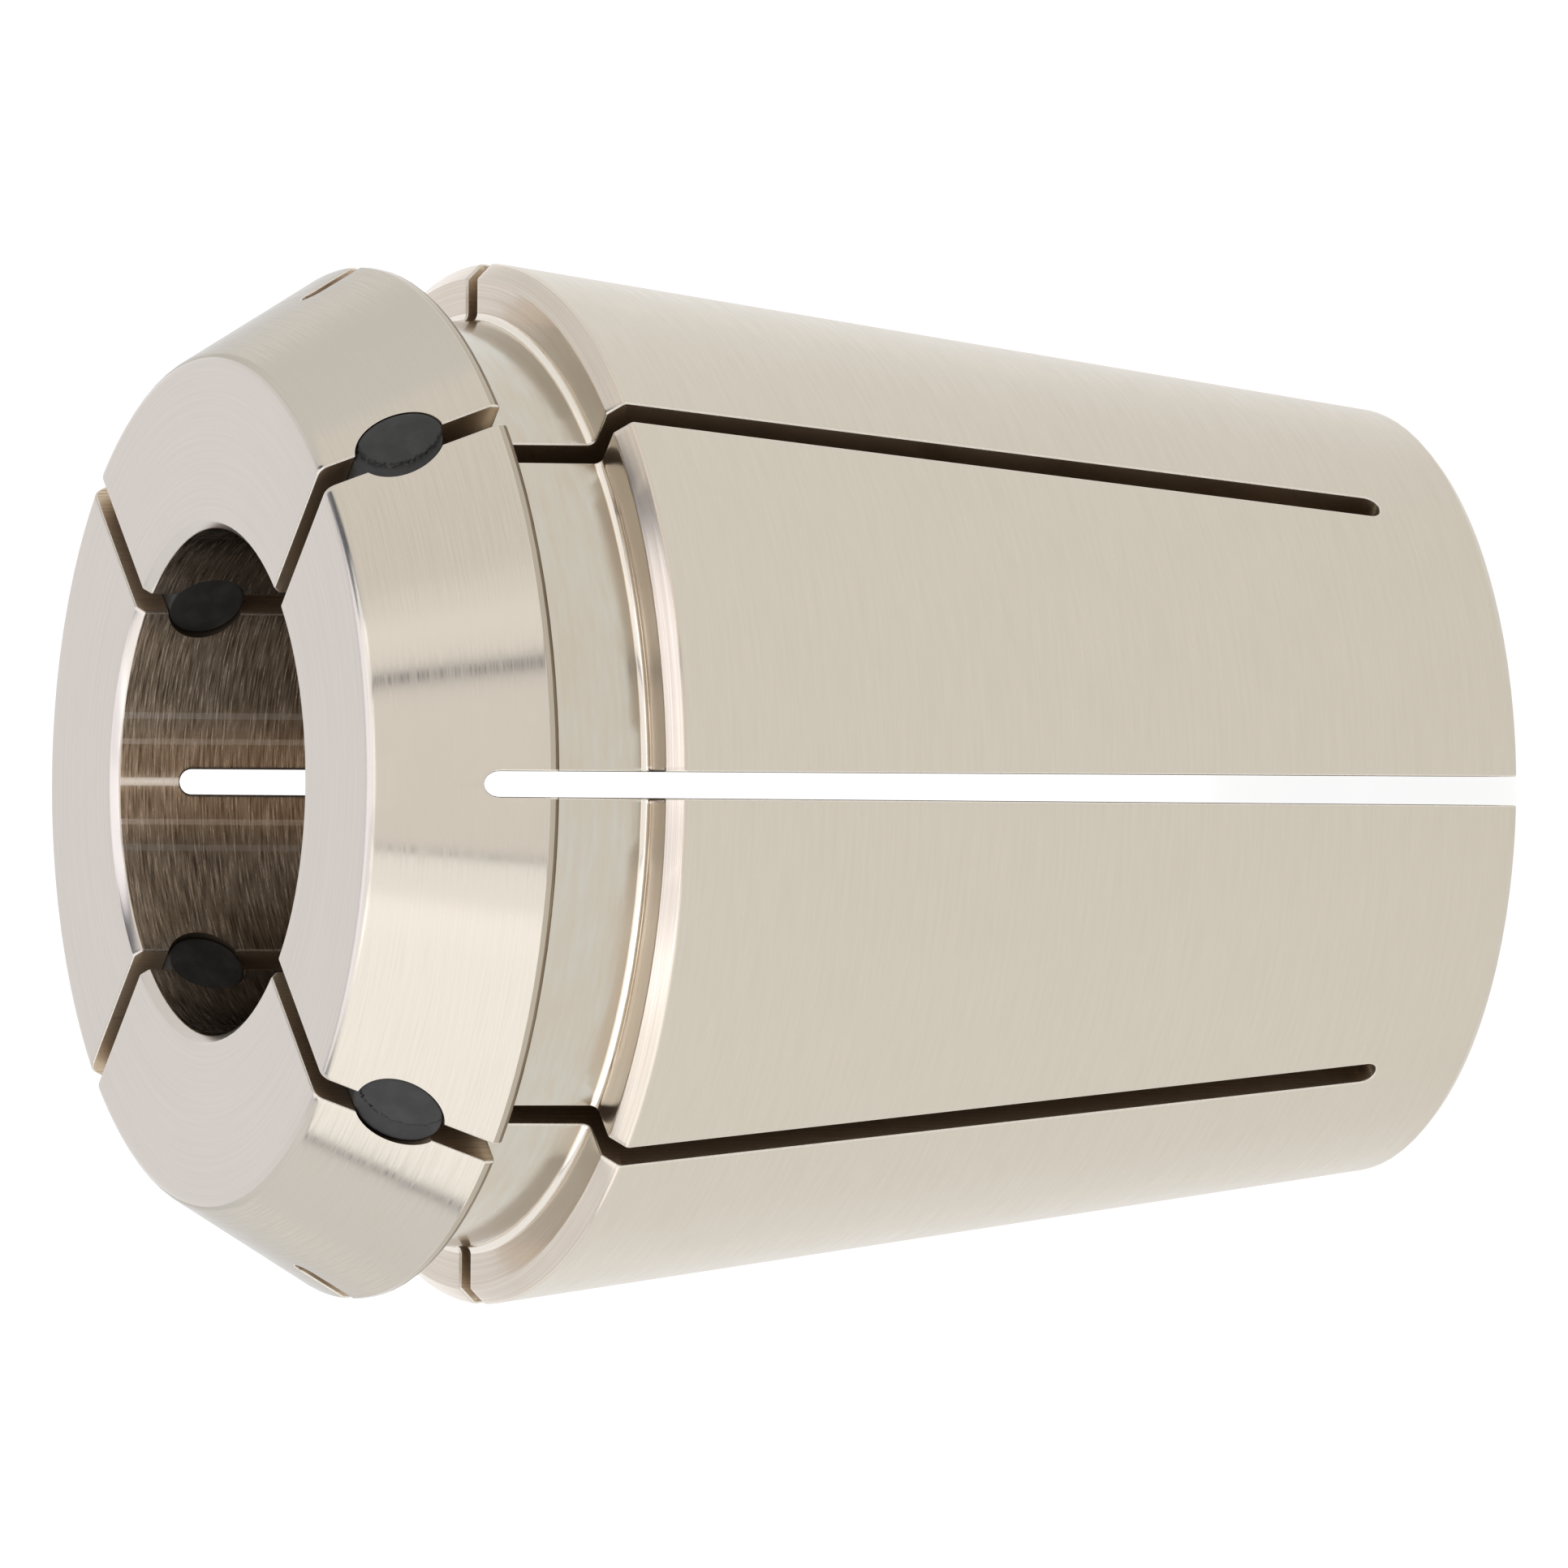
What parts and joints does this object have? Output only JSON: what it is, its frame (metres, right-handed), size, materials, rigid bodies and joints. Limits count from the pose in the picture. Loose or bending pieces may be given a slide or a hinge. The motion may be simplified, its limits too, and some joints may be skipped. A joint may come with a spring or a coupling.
{
  "type": "er collet",
  "caption": "Slotted double-taper steel tapping collet with round shank bore, square drive socket and rubber plugs sealing its front slots.",
  "frame": {"origin": "centre of the rear face, the small end, on the collet's axis", "axes": "+Z along the axis from the rear face to the nose face; the rear slots lie in the XZ and YZ planes"},
  "size_m": [0.033, 0.033, 0.04],
  "materials": {
    "steel": "hardened spring steel, finely ground all over",
    "seal": "charcoal nitrile rubber, satin"
  },
  "bodies": {
    "root": {"collet_body": "steel", "seal_plug_1": "seal", "seal_plug_2": "seal", "seal_plug_3": "seal", "seal_plug_4": "seal"}
  },
  "joints": []
}
